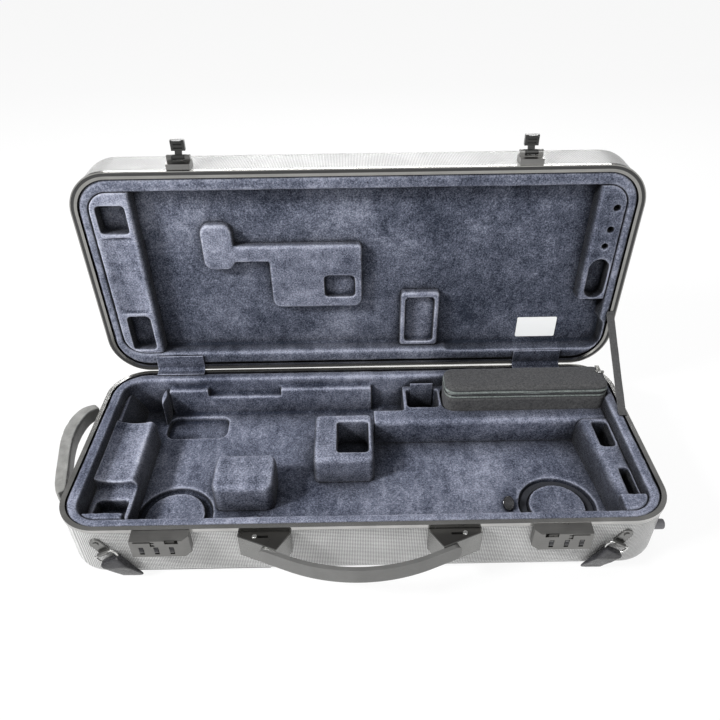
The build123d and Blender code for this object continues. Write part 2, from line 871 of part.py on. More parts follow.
lock_width = 62.0
lock_low = base_height - 28.0
lock_high = base_height - 1.0
lock_face = 14.0
lock_slope = 1.5
lock_chamfer = 6.0
dial_offsets = (20.0, 4.0, -12.5)
dial_z = base_height - 18.0
dial_radius = 5.5
dial_width = 4.4
dial_gap = 0.3
dial_sink = 4.2
axle_radius = 1.0
axle_margin = 5.0
catch_slot_width = 14.4
catch_slot_low = base_height - 7.0
catch_slot_high = base_height - 2.4
catch_slot_depth = 5.0
catch_width = 10.0
catch_high = base_height - 4.7
bar_depth = 3.2
button_low = base_height - 10.7
button_high = base_height - 4.3
button_outer = 27.0
button_length = 18.0
button_proud = 1.0
track_depth = 1.0
slider_travel = 4.0
slide_gap = 0.2
lock_front_y = -trim_face - lock_face


def across(side, near, far):
    """The left and right ends of a stretch given by its distances from the fittings' middle."""
    ends = (fittings_x + side * near, fittings_x + side * far)
    return min(ends), max(ends)


def front_span(side, near, far, low, high, radius=0.0, mode=Mode.ADD):
    """A rectangle on the front wall between two distances and two heights."""
    left, right = across(side, near, far)
    span((left, low), (right, high), radius, mode)


def axle_plane(side):
    """The plane across a lock's axle at its inner end."""
    return Plane.YZ.offset(fittings_x + side * (lock_offset + dial_offsets[2] - axle_margin))


axle_length = dial_offsets[0] - dial_offsets[2] + 2 * axle_margin

with BuildPart() as lock_bodies:
    for side in (-1, 1):
        lock_x = fittings_x + side * lock_offset
        with BuildSketch(Plane.YZ.offset(lock_x - lock_width / 2)):
            with BuildLine():
                Polyline(
                    (-wall_face, lock_low),
                    (-wall_face, hinge_z - trim_height - plate_gap),
                    (-trim_face - plate_gap, hinge_z - trim_height - plate_gap),
                    (-trim_face - plate_gap, lock_high),
                    (lock_front_y, lock_high - lock_slope),
                    (lock_front_y, lock_low),
                    close=True,
                )
            make_face()
        extrude(amount=lock_width)
        inner_x = lock_x - side * lock_width / 2
        with BuildSketch(Plane.XY.offset(lock_low)):
            polygon(
                (inner_x, lock_front_y),
                (inner_x + side * lock_chamfer, lock_front_y),
                (inner_x, lock_front_y + lock_chamfer),
            )
        extrude(amount=lock_high - lock_low, mode=Mode.SUBTRACT)
        with BuildSketch(Plane.XZ.offset(-lock_front_y)):
            for shift in dial_offsets:
                middle = lock_offset + shift
                front_span(
                    side,
                    middle - dial_width / 2 - dial_gap,
                    middle + dial_width / 2 + dial_gap,
                    dial_z - dial_radius - dial_gap,
                    dial_z + dial_radius + dial_gap,
                )
        extrude(amount=-dial_sink - dial_radius - dial_gap, mode=Mode.SUBTRACT)
        with BuildSketch(Plane.XZ.offset(-lock_front_y)):
            front_span(
                side,
                hasp_offset - catch_slot_width / 2,
                hasp_offset + catch_slot_width / 2,
                catch_slot_low - slide_gap,
                catch_slot_high,
            )
        extrude(amount=-catch_slot_depth, mode=Mode.SUBTRACT)
        with BuildSketch(Plane.XZ.offset(-lock_front_y)):
            front_span(
                side,
                lock_offset + button_outer - button_length - slider_travel - slide_gap,
                lock_offset + button_outer + slide_gap,
                button_low - slide_gap,
                button_high + slide_gap,
            )
        extrude(amount=-track_depth, mode=Mode.SUBTRACT)
        with BuildSketch(Plane.XZ.offset(-lock_front_y - catch_slot_depth)):
            front_span(
                side,
                hasp_offset,
                lock_offset + button_outer + slide_gap,
                catch_slot_low - slide_gap,
                catch_high + slide_gap,
            )
        extrude(amount=bar_depth + 2 * slide_gap, mode=Mode.SUBTRACT)
        with BuildSketch(Plane.XZ.offset(-lock_front_y)):
            front_span(
                side,
                lock_offset + button_outer - button_length - slider_travel,
                lock_offset + button_outer + slide_gap,
                catch_slot_low - slide_gap,
                catch_high + slide_gap,
            )
        extrude(amount=-catch_slot_depth, mode=Mode.SUBTRACT)
        with BuildSketch(axle_plane(side)):
            with Locations((lock_front_y + dial_sink, dial_z)):
                Circle(axle_radius)
        extrude(amount=side * axle_length, mode=Mode.SUBTRACT)
save(lock_bodies, "lock_bodies")

with BuildPart() as lock_axles:
    for side in (-1, 1):
        with BuildSketch(axle_plane(side)):
            with Locations((lock_front_y + dial_sink, dial_z)):
                Circle(axle_radius)
        extrude(amount=side * axle_length)
save(lock_axles, "lock_axles")

for side, name in ((-1, "left"), (1, "right")):
    with BuildPart() as lock_slider:
        with BuildSketch(Plane.XZ.offset(-lock_front_y + button_proud)):
            front_span(
                side,
                lock_offset + button_outer - button_length,
                lock_offset + button_outer,
                button_low,
                button_high,
            )
        extrude(amount=-button_proud - track_depth + slide_gap)
        with BuildSketch(Plane.XZ.offset(-lock_front_y)):
            front_span(
                side,
                lock_offset + button_outer - button_length,
                lock_offset + button_outer,
                catch_slot_low,
                catch_high,
            )
        extrude(amount=slide_gap - catch_slot_depth)
        with BuildSketch(Plane.XZ.offset(-lock_front_y - catch_slot_depth + slide_gap)):
            front_span(
                side,
                hasp_offset - catch_width / 2 + slider_travel / 2,
                lock_offset + button_outer,
                catch_slot_low,
                catch_high,
            )
        extrude(amount=bar_depth)
    save(lock_slider, f"lock_slider_{name}")
    for number, shift in enumerate(dial_offsets):
        with BuildPart() as dial:
            middle = fittings_x + side * (lock_offset + shift)
            with BuildSketch(Plane.YZ.offset(middle - dial_width / 2)):
                with Locations((lock_front_y + dial_sink, dial_z)):
                    Circle(dial_radius)
            extrude(amount=dial_width)
            chamfer(dial.edges(), dial_gap)
            with BuildSketch(Plane.YZ.offset(middle - dial_width / 2)):
                with Locations((lock_front_y + dial_sink, dial_z)):
                    Circle(axle_radius + pin_clearance)
            extrude(amount=dial_width, mode=Mode.SUBTRACT)
        save(dial, f"lock_dial_{name}_{number + 1}")

# Hasps on the lid's front wall, standing up while the lid is open

hasp_width = 27.0
hasp_low = 2.0
hasp_high = 22.0
hasp_proud = 7.0
hasp_pivot_reach = 11.0
hasp_pivot_depth = 14.0
barrel_length = 15.0
barrel_radius = 3.0
hasp_pin_radius = 1.2
ear_gap = 0.3
neck_width = 8.0
neck_thickness = 2.4
cap_width = 16.0
cap_near = 6.0
cap_far = 18.0
cap_thickness = 5.0
cap_stand = 3.4
hook_thickness = 1.2
hook_width = 10.0
hook_reach = 2.8
rib_slot_width = 10.0
rib_slot_height = 1.6
rib_slot_first = 3.2
rib_slot_second = 7.2
rib_slot_depth = 1.5
pivot_z = lid_plane.origin.Z + trim_face + hasp_pivot_reach
pivot_y = lid_plane.origin.Y + hasp_pivot_depth
lid_front_z = lid_plane.origin.Z + trim_face

lid_wall_z = lid_plane.origin.Z + wall_face

with BuildPart() as hasp_blocks:
    for side in (-1, 1):
        hasp_x = fittings_x + side * hasp_offset
        with BuildSketch(Plane.YZ.offset(hasp_x - hasp_width / 2)):
            with BuildLine():
                Polyline(
                    (lid_plane.origin.Y + hasp_low, lid_front_z + plate_gap),
                    (lid_plane.origin.Y + hasp_low, lid_front_z + hasp_proud),
                    (lid_plane.origin.Y + hasp_high, lid_front_z + hasp_proud),
                    (lid_plane.origin.Y + hasp_high, lid_wall_z),
                    (lid_plane.origin.Y + trim_height + plate_gap, lid_wall_z),
                    (lid_plane.origin.Y + trim_height + plate_gap, lid_front_z + plate_gap),
                    close=True,
                )
            make_face()
            with Locations((pivot_y, pivot_z)):
                Circle(barrel_radius + fit_gap)
            with BuildLine():
                Polyline(
                    (pivot_y - barrel_radius - fit_gap, lid_front_z + plate_gap),
                    (pivot_y - barrel_radius - fit_gap, pivot_z),
                    (pivot_y + barrel_radius + fit_gap, pivot_z),
                    (pivot_y + barrel_radius + fit_gap, lid_front_z + plate_gap),
                    close=True,
                )
            make_face()
        extrude(amount=hasp_width)
        with BuildSketch(Plane.YZ.offset(hasp_x - barrel_length / 2 - ear_gap)):
            with Locations((pivot_y, pivot_z)):
                Rectangle(2 * cap_far, 2 * (barrel_radius + ear_gap))
        extrude(amount=barrel_length + 2 * ear_gap, mode=Mode.SUBTRACT)
        with BuildSketch(Plane.YZ.offset(hasp_x - hasp_width / 2)):
            with Locations((pivot_y, pivot_z)):
                Circle(hasp_pin_radius)
        extrude(amount=hasp_width, mode=Mode.SUBTRACT)
save(hasp_blocks, "hasp_blocks")

with BuildPart() as hasp_pins:
    for side in (-1, 1):
        with BuildSketch(Plane.YZ.offset(fittings_x + side * hasp_offset - hasp_width / 2)):
            with Locations((pivot_y, pivot_z)):
                Circle(hasp_pin_radius)
        extrude(amount=hasp_width)
save(hasp_pins, "hasp_pins")

for side, name in ((-1, "left"), (1, "right")):
    hasp_x = fittings_x + side * hasp_offset
    with BuildPart() as hasp_plate:
        cap_face = pivot_y + cap_stand
        with BuildSketch(Plane.YZ.offset(hasp_x - barrel_length / 2)):
            with Locations((pivot_y, pivot_z)):
                Circle(barrel_radius)
        extrude(amount=barrel_length)
        with BuildSketch(Plane.YZ.offset(hasp_x - neck_width / 2)):
            with BuildLine():
                Polyline(
                    (pivot_y, pivot_z),
                    (cap_face, pivot_z + cap_near),
                    (cap_face + neck_thickness, pivot_z + cap_near),
                    (pivot_y + barrel_radius, pivot_z),
                    close=True,
                )
            make_face()
        extrude(amount=neck_width)
        with BuildSketch(Plane.YZ.offset(hasp_x - cap_width / 2)):
            span((cap_face, pivot_z + cap_near), (cap_face + cap_thickness, pivot_z + cap_far))
        extrude(amount=cap_width)
        with BuildSketch(Plane.YZ.offset(hasp_x - hook_width / 2)):
            span(
                (cap_face - hook_reach, pivot_z + cap_far - hook_thickness),
                (cap_face, pivot_z + cap_far),
            )
        extrude(amount=hook_width)
        with BuildSketch(Plane.XZ.offset(-cap_face)):
            for height in (cap_near + rib_slot_first, cap_near + rib_slot_second):
                with Locations((hasp_x, pivot_z + height)):
                    Rectangle(rib_slot_width, rib_slot_height)
        extrude(amount=-rib_slot_depth, mode=Mode.SUBTRACT)
        with BuildSketch(Plane.YZ.offset(hasp_x - barrel_length / 2)):
            with Locations((pivot_y, pivot_z)):
                Circle(hasp_pin_radius + pin_clearance)
        extrude(amount=barrel_length, mode=Mode.SUBTRACT)
    save(hasp_plate, f"hasp_plate_{name}")

# Carrying handle on the front: two brackets and a curved band between them

handle_x = -5.0
bracket_outer = 131.0
bracket_tip = 88.0
bracket_inner = 74.0
bracket_low = base_height - 36.0
bracket_high = base_height - 6.0
bracket_outer_y = -trim_face - 7.0
bracket_tip_y = -trim_face - 25.5
bracket_inner_y = -trim_face - 4.0
cover_depth = 1.6
cover_border = 1.2
slot_outer = 115.5
slot_inner = 97.5
slot_width = 3.2
screw_start = 114.0
shank_radius = 1.4
head_radius = 2.8
head_height = 1.4
carriage_length = 7.0
carriage_width = 3.6
carriage_height = 5.0
carriage_gap = 0.3
band_low = bracket_low + 8.0
band_high = bracket_high - 2.0
band_thickness = 5.0
band_end = 106.0
band_bend = 75.0
band_round = 8.0
slot_y = -trim_face - 7.2
chamber_high = bracket_high - cover_depth
chamber_low = chamber_high - carriage_height - 2 * carriage_gap


def handle_point(side, distance, y):
    """A plan point at a distance from the handle's middle."""
    return (handle_x + side * distance, y)


def bracket_plan(side):
    """The plan of a handle bracket, its back on the wall."""
    polygon(
        handle_point(side, bracket_outer, -wall_face),
        handle_point(side, bracket_outer, bracket_outer_y),
        handle_point(side, bracket_tip, bracket_tip_y),
        handle_point(side, bracket_inner, bracket_inner_y),
        handle_point(side, bracket_inner, -wall_face),
    )


def slot_middle(side):
    """The plan point at the middle of a bracket's slot."""
    return handle_point(side, (slot_outer + slot_inner) / 2, slot_y)


with BuildPart() as handle_brackets:
    for side in (-1, 1):
        with BuildSketch(Plane.XY.offset(bracket_low)):
            bracket_plan(side)
        extrude(amount=bracket_high - bracket_low)
        with BuildSketch(Plane.XY.offset(chamber_high)):
            bracket_plan(side)
            offset(amount=-cover_border, kind=Kind.INTERSECTION, mode=Mode.REPLACE)
        extrude(amount=cover_depth, mode=Mode.SUBTRACT)
        with BuildSketch(Plane.XY.offset(chamber_low)):
            with Locations(slot_middle(side)):
                Rectangle(
                    slot_outer - slot_inner + carriage_length,
                    carriage_width + 2 * carriage_gap,
                )
        extrude(amount=chamber_high - chamber_low, mode=Mode.SUBTRACT)
save(handle_brackets, "handle_brackets")

with BuildPart() as bracket_covers:
    for side in (-1, 1):
        with BuildSketch(Plane.XY.offset(chamber_high)):
            bracket_plan(side)
            offset(amount=-cover_border - fit_gap, kind=Kind.INTERSECTION, mode=Mode.REPLACE)
            with Locations(slot_middle(side)):
                SlotOverall(slot_outer - slot_inner, slot_width, mode=Mode.SUBTRACT)
        extrude(amount=cover_depth)
save(bracket_covers, "bracket_covers")

for side, name in ((-1, "left"), (1, "right")):
    with BuildPart() as handle_screw:
        with BuildSketch(Plane.XY.offset(chamber_low)):
            with Locations(handle_point(side, screw_start - shank_radius, slot_y)):
                Rectangle(carriage_length, carriage_width)
        extrude(amount=carriage_height)
        with BuildSketch(Plane.XY.offset(chamber_low)):
            with Locations(handle_point(side, screw_start - shank_radius, slot_y)):
                Circle(shank_radius)
        extrude(amount=bracket_high - chamber_low)
        with BuildSketch(Plane.XY.offset(bracket_high)):
            with Locations(handle_point(side, screw_start - shank_radius, slot_y)):
                Circle(head_radius)
        extrude(amount=head_height)
        fillet(farthest(handle_screw, Plane.XY).edges(), head_height / 2)
    save(handle_screw, f"handle_screw_{name}")

face_slope = (bracket_tip_y - bracket_outer_y) / (bracket_outer - bracket_tip)
face_angle = math.atan(-face_slope)
band_radius = band_bend / math.sin(face_angle)


def face_y(distance):
    """Where the slanted face of a bracket lies at a distance from the handle's middle."""
    return bracket_tip_y + face_slope * (bracket_tip - distance)


def band_point(side, distance, stand):
    """A plan point on the band's straight end, at a stand from the bracket's slanted face."""
    return handle_point(
        side,
        distance + stand * math.sin(face_angle),
        face_y(distance) - stand * math.cos(face_angle),
    )


def band_middle(stand):
    """The plan point at the middle of the band's curve, on its inner or outer side."""
    sag = (band_radius + stand) * (1 - math.cos(face_angle))
    return (handle_x, face_y(band_bend) - stand * math.cos(face_angle) - sag)


with BuildPart() as handle_band:
    with BuildSketch(Plane.XY.offset(band_low)):
        with BuildLine():
            Polyline(
                band_point(-1, band_bend, band_thickness),
                band_point(-1, band_end, band_thickness),
                band_point(-1, band_end, 0),
                band_point(-1, band_bend, 0),
            )
            ThreePointArc(
                band_point(-1, band_bend, 0),
                band_middle(0),
                band_point(1, band_bend, 0),
            )
            Polyline(
                band_point(1, band_bend, 0),
                band_point(1, band_end, 0),
                band_point(1, band_end, band_thickness),
                band_point(1, band_bend, band_thickness),
            )
            ThreePointArc(
                band_point(1, band_bend, band_thickness),
                band_middle(band_thickness),
                band_point(-1, band_bend, band_thickness),
            )
        make_face()
    extrude(amount=band_high - band_low)
    end_edges = handle_band.edges().filter_by(
        lambda edge: abs(edge.length - band_thickness) < fit_gap
    )
    fillet(end_edges, band_round)
save(handle_band, "handle_band")

# Padded handle on the left end wall

grip_low = base_height - 34.0
grip_high = base_height - 14.0
left_end = -case_length / 2
grip_outer = (
    (left_end - 16.0, -74.0),
    (left_end - 23.0, -60.0),
    (left_end - 33.6, -20.0),
    (left_end - 42.5, 20.0),
    (left_end - 43.5, 52.0),
    (left_end - 35.0, 78.0),
    (left_end - 18.0, 88.0),
)
grip_inner = (
    (left_end - 10.5, 80.0),
    (left_end - 20.5, 70.0),
    (left_end - 26.0, 50.0),
    (left_end - 26.0, 22.0),
    (left_end - 18.5, -16.0),
    (left_end - 10.0, -52.0),
    (left_end - 6.5, -68.0),
)
side_bracket_y = (-76.0, 78.0)
side_bracket_width = 19.0
side_bracket_reach = case_length / 2 + 5.0
side_bracket_low = grip_low + 2.0
side_bracket_high = grip_high - 2.0
side_bracket_round = 4.0

with BuildPart() as side_brackets:
    with BuildSketch(Plane.XY.offset(side_bracket_low)):
        for middle in side_bracket_y:
            with Locations((-(side_bracket_reach + end_face) / 2, middle)):
                Rectangle(side_bracket_reach - end_face, side_bracket_width)
    extrude(amount=side_bracket_high - side_bracket_low)
    fillet(side_brackets.edges().filter_by(Axis.Z).group_by(Axis.X)[0], side_bracket_round)
save(side_brackets, "side_brackets")

with BuildPart() as side_grip:
    with BuildSketch(Plane.XY.offset(grip_low)):
        with BuildLine() as outline:
            Spline(*grip_outer)
            Line(grip_outer[-1], grip_inner[0])
            Spline(*grip_inner)
            Line(grip_inner[-1], grip_outer[0])
        make_face(outline.edges())
    extrude(amount=grip_high - grip_low)
save(side_grip, "side_grip")

# Hangers at the front corners: a leaning oval plate, a ring and a leather strap

hanger_lean = 30.0
hanger_reach = case_length / 2 - 57.0
hanger_z = base_height - 33.0
plate_length = 24.0
plate_width = 13.0
plate_middle = 8.0
plate_thickness = 2.5
plate_screw = 13.0
screw_head_radius = 3.2
screw_head_height = 1.2
ring_stand = 6.0
ring_rod = 1.3
ring_width = 22.0
ring_drop = 17.0
sleeve_length = 13.0
sleeve_wall = 1.2
tab_width = 24.0
tab_top = 9.0
tab_end = 54.0
tab_low = 3.0
tab_high = 12.0
tab_floor = 2.0
tab_round = 4.0
tab_bevel = (
    (-trim_face - 13.5, 38.0),
    (-trim_face - 11.5, 32.0),
    (-trim_face - 2.0, 3.0),
    (-trim_face - 2.0, -20.0),
    (-trim_face - 29.0, -20.0),
    (-trim_face - 29.0, 38.0),
)
tail_start = case_length / 2 - 78.0
tail_end = 105.0
tail_low = 0.1
tail_thickness = 0.5
tail_rear = 10.8 - trim_face
tail_front = 7.4 - trim_face


def hanger_plane(side):
    """The wall's plane at a ring's axis: X along the axis, Y towards the plate's screw."""
    lean = math.radians(hanger_lean)
    return Plane(
        origin=(fittings_x + side * hanger_reach, -wall_face, hanger_z),
        x_dir=(math.cos(lean), 0, -side * math.sin(lean)),
        z_dir=(0, -1, 0),
    )


def ring_section_plane(side, shift):
    """A plane across the ring's axis: X outward from the wall, Y away from the screw."""
    wall = hanger_plane(side)
    return Plane(
        origin=wall.origin + wall.x_dir * shift,
        x_dir=wall.z_dir,
        z_dir=wall.x_dir,
    )


with BuildPart() as hanger_plates:
    for side in (-1, 1):
        wall = hanger_plane(side)
        with BuildSketch(wall.offset(plate_thickness)):
            with Locations((0, plate_middle)):
                SlotOverall(plate_length, plate_width, rotation=90)
        extrude(amount=-plate_length)
    with BuildSketch(Plane.XY):
        case_outline(trim_reveal)
    extrude(amount=base_height, mode=Mode.SUBTRACT)
    with BuildSketch(Plane.XY):
        span((-case_length, 0), (case_length, case_depth))
    extrude(amount=base_height, mode=Mode.SUBTRACT)
    for side in (-1, 1):
        wall = hanger_plane(side)
        with BuildSketch(wall.offset(plate_thickness)):
            with Locations((0, plate_screw)):
                Circle(screw_head_radius)
        extrude(amount=screw_head_height)
        with BuildSketch(ring_section_plane(side, -sleeve_length / 2)):
            with Locations((ring_stand, 0)):
                Circle(ring_rod + pin_clearance + sleeve_wall)
            span((plate_thickness, -sleeve_wall), (ring_stand, sleeve_wall))
            with Locations((ring_stand, 0)):
                Circle(ring_rod + pin_clearance, mode=Mode.SUBTRACT)
        extrude(amount=sleeve_length)
save(hanger_plates, "hanger_plates")

for side, name in ((-1, "left"), (1, "right")):
    ring_plane = hanger_plane(side).offset(ring_stand)
    with BuildPart() as hanger_ring:
        with BuildLine(ring_plane) as ring_bar:
            Line((-ring_width / 2, 0), (ring_width / 2, 0))
        with BuildLine(ring_plane) as ring_arc:
            ThreePointArc(
                (ring_width / 2, 0),
                (0, -ring_drop),
                (-ring_width / 2, 0),
            )
        with BuildSketch(ring_section_plane(side, -ring_width / 2)):
            with Locations((ring_stand, 0)):
                Circle(ring_rod)
        sweep(path=ring_bar.line)
        with BuildSketch(Plane(ring_arc.line @ 0, z_dir=ring_arc.line % 0)):
            Circle(ring_rod)
        sweep(path=ring_arc.line)
        for end in (ring_bar.line @ 0, ring_bar.line @ 1):
            with Locations(end):
                Sphere(ring_rod)
    save(hanger_ring, f"hanger_ring_{name}")
    with BuildPart() as hanger_strap:
        with BuildSketch(hanger_plane(side).offset(tab_low)):
            span((-tab_width / 2, -tab_end), (tab_width / 2, -tab_top), tab_round)
        extrude(amount=tab_high - tab_low)
        with BuildSketch(Plane.XY):
            span((-case_length, -case_length), (case_length, case_length))
        extrude(amount=-case_depth, mode=Mode.SUBTRACT)
        with BuildSketch(Plane.XY):
            span((-case_length, -case_length), (case_length, case_length))
        extrude(amount=tab_floor, mode=Mode.SUBTRACT)
        with BuildSketch(Plane.YZ.offset(-case_length)):
            polygon(*tab_bevel)
        extrude(amount=2 * case_length, mode=Mode.SUBTRACT)
        add(hanger_ring.part, mode=Mode.SUBTRACT)
    save(hanger_strap, f"hanger_strap_{name}")

# Strap tail tucked along the front edge of the bottom

with BuildPart() as strap_tail:
    tail_left, tail_right = across(-1, tail_end, tail_start)
    with BuildSketch(Plane.XY.offset(tail_low)):
        span((tail_left, tail_front), (tail_right, tail_rear))
    extrude(amount=tail_thickness)
save(strap_tail, "strap_tail")

# Rubber feet on the right end wall

foot_y = (30.0 - trim_face, trim_face - 30.0)
foot_z = 38.0
foot_radius = 6.0
foot_reach = case_length / 2 + 2.8
foot_round = 1.5

with BuildPart() as end_feet:
    with BuildSketch(Plane.YZ.offset(foot_reach)):
        for middle in foot_y:
            with Locations((middle, foot_z)):
                Circle(foot_radius)
    extrude(amount=-corner_radius)
    fillet(farthest(end_feet, Plane.YZ).edges(), foot_round)
    fillet(farthest(end_feet, Plane.YZ).edges(), foot_round / 2)
    with BuildSketch(Plane.XY):
        case_outline(trim_reveal)
    extrude(amount=base_height, mode=Mode.SUBTRACT)
save(end_feet, "end_feet")

# Padded corners of the lip at the front, over the end blocks

pad_high = base_height - 3.0
pad_left_reach = 54.0 - cavity_end
pad_left_rear = cavity_front + 10.5
pad_right_reach = cavity_end - 32.0
pad_right_rear = cavity_front + 25.0

with BuildPart() as corner_pads:
    with BuildSketch(Plane.XY.offset(block_height + soft_gap)):
        cavity_outline(soft_gap)
        span(
            (pad_right_reach, cavity_front),
            (cavity_end, pad_right_rear),
            mode=Mode.INTERSECT,
        )
    extrude(amount=pad_high - block_height - soft_gap)
    with BuildSketch(Plane.XY.offset(left_step_height + soft_gap)):
        cavity_outline(soft_gap)
        span(
            (-cavity_end, cavity_front),
            (pad_left_reach, pad_left_rear),
            mode=Mode.INTERSECT,
        )
    extrude(amount=pad_high - left_step_height - soft_gap)
    tops = corner_pads.faces().filter_by(Plane.XY).group_by(Axis.Z)[-1]
    fillet(tops.edges(), block_round / 2)
save(corner_pads, "corner_pads")

# Cloth flap at the back of the square pocket

cloth_thickness = 1.5
cloth_low = 34.0
cloth_high = base_height - 8.0
cloth_margin = 5.5

with BuildPart() as pocket_flap:
    low, high = square_pocket
    with BuildSketch(Plane.XY.offset(cloth_low)):
        span(
            (low[0] + cloth_margin, high[1] - soft_gap - cloth_thickness),
            (high[0] - cloth_margin, high[1] - soft_gap),
        )
    extrude(amount=cloth_high - cloth_low)
save(pocket_flap, "pocket_flap")
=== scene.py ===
import math

import bmesh
import bpy
from mathutils import Matrix, Vector


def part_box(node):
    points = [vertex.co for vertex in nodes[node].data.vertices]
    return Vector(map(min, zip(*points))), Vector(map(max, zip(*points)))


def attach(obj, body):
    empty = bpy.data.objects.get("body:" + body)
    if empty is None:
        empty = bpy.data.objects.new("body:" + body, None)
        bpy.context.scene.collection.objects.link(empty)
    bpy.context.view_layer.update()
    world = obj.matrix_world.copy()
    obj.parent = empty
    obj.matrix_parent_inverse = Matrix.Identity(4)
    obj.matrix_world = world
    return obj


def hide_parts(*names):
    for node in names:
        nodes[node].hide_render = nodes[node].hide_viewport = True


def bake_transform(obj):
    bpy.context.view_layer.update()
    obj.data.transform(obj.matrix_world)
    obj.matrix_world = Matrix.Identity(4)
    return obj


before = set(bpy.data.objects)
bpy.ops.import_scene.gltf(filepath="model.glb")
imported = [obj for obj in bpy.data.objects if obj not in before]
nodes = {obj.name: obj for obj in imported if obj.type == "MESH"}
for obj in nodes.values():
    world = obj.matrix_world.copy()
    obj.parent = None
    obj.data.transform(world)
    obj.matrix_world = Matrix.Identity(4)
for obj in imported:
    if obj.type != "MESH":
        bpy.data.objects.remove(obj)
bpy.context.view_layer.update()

scene = bpy.context.scene


# Node trees. Lengths are in metres, and noise scales are in waves to the metre


class Graph:
    """A node tree with short ways to add nodes and join them."""

    def __init__(self, tree):
        self.tree = tree

    def add(self, kind, **settings):
        """A new node with its settings."""
        node = self.tree.nodes.new(kind)
        for key, value in settings.items():
            setattr(node, key, value)
        return node

    def put(self, source, socket):
        """Joins one socket to another, or gives it a plain number."""
        if isinstance(source, (int, float)):
            socket.default_value = source
        else:
            self.tree.links.new(source, socket)

    def maths(self, operation, *values):
        """One arithmetic node on sockets or numbers."""
        node = self.add("ShaderNodeMath", operation=operation)
        for value, socket in zip(values, node.inputs):
            self.put(value, socket)
        return node.outputs[0]

    def mix_of(self, *layers):
        """The sum of some values, each times its share."""
        total = None
        for value, share in layers:
            part = self.maths("MULTIPLY", value, share)
            total = part if total is None else self.maths("ADD", total, part)
        return total

    def span(self, source, old, new):
        """A value moved from one range to another, clamped."""
        node = self.add("ShaderNodeMapRange")
        self.put(source, node.inputs["Value"])
        for key, value in zip(("From Min", "From Max", "To Min", "To Max"), (*old, *new)):
            node.inputs[key].default_value = value
        return node.outputs[0]


class Finish(Graph):
    """A material in the making. The mix numbers are the mix node's colour sockets."""

    mix_factor, mix_a, mix_b, mix_result = 0, 6, 7, 2

    def __init__(self, name):
        self.material = bpy.data.materials.new(name)
        self.material.use_nodes = True
        super().__init__(self.material.node_tree)
        self.shader = self.tree.nodes["Principled BSDF"]

    def set(self, values):
        """Gives the shader's own sockets plain values."""
        for key, value in values.items():
            self.shader.inputs[key].default_value = value

    def coordinates(self, kind="Object"):
        """The object's own coordinates, or its normal in them."""
        return self.add("ShaderNodeTexCoord").outputs[kind]

    def geometry(self, kind):
        """The surface's normal, or how sharp its edge is."""
        return self.add("ShaderNodeNewGeometry").outputs[kind]

    def axes(self, vector):
        """The three numbers of a vector."""
        node = self.add("ShaderNodeSeparateXYZ")
        self.put(vector, node.inputs[0])
        return node.outputs

    def noise(self, place, scale, detail, roughness, stretch=None):
        """A noise value over the coordinates, which may be stretched first."""
        if stretch is not None:
            mapping = self.add("ShaderNodeMapping")
            mapping.inputs["Scale"].default_value = stretch
            self.put(place, mapping.inputs[0])
            place = mapping.outputs[0]
        node = self.add("ShaderNodeTexNoise")
        for key, value in (("Scale", scale), ("Detail", detail), ("Roughness", roughness)):
            node.inputs[key].default_value = value
        self.put(place, node.inputs["Vector"])
        return node.outputs["Fac"]

    def ramp(self, source, places, colours):
        """A ramp from a value through colours at their places."""
        node = self.add("ShaderNodeValToRGB")
        elements = node.color_ramp.elements
        while len(elements) < len(places):
            elements.new(0.5)
        for element, place, colour in zip(elements, places, colours):
            element.position = place
            element.color = (*colour, 1)
        self.put(source, node.inputs[0])
        return node.outputs[0]

    def darken(self, colour, amount):
        """A colour times a number."""
        node = self.add("ShaderNodeMix", data_type="RGBA", blend_type="MULTIPLY")
        node.inputs[self.mix_factor].default_value = 1
        self.put(colour, node.inputs[self.mix_a])
        self.put(amount, node.inputs[self.mix_b])
        return node.outputs[self.mix_result]

    def paint(self, colour):
        """Joins a colour to the shader."""
        self.put(colour, self.shader.inputs["Base Color"])

    def bump(self, height, strength, distance):
        """Bump from a height value."""
        node = self.add("ShaderNodeBump")
        node.inputs["Strength"].default_value = strength
        node.inputs["Distance"].default_value = distance
        self.put(height, node.inputs["Height"])
        self.put(node.outputs[0], self.shader.inputs["Normal"])

    def wave(self, distance, pitch):
        """A sine wave of that pitch along a distance."""
        return self.maths("SINE", self.maths("MULTIPLY", distance, 2 * math.pi / pitch))


def shades(colour, spread):
    """A slightly darker and a slightly lighter shade of a colour."""
    low = tuple(c * (1 - spread) for c in colour)
    high = tuple(min(1, c * (1 + spread)) for c in colour)
    return low, high


# Velvet: a speckled nap with brushed patches, with painted shade in its creases, deep corners and walls
# facing along the case, and a faint painted highlight on sharp edges

patch_scale = 10
brush_scale = 70
brush_stretch = (1.0, 0.4, 1.0)
speckle_scale = 520
pile_scale = 1500
patch_share = 0.36
brush_share = 0.24
speckle_share = 0.7
speckle_height = 0.8
pile_height = 0.4
nap_depth = 0.0014
nap_places = (0.38, 0.51, 0.65)
# Painted shade in creases and a faint painted highlight on edges, from the surface's pointiness
edge_sharpness = (0.46, 0.56)
painted_crease_and_edge_shift = (-0.3, 0.02)
wall_facing = (0.35, 0.9)
wall_light = (1, 0.22)
corner_reach = 0.04
corner_openness = (0.35, 0.92)
corner_light = (0.08, 1)


def painted_velvet_shade(make):
    """Painted shade: walls facing along the case are darkened nearly to black, and so are deep corners."""
    sideways = make.maths("ABSOLUTE", make.axes(make.geometry("Normal"))[0])
    wall_shade = make.span(sideways, wall_facing, wall_light)
    corner_occlusion = make.add("ShaderNodeAmbientOcclusion", samples=6)
    corner_occlusion.inputs["Distance"].default_value = corner_reach
    corner_shade = make.span(corner_occlusion.outputs["AO"], corner_openness, corner_light)
    return make.maths("MULTIPLY", wall_shade, corner_shade)


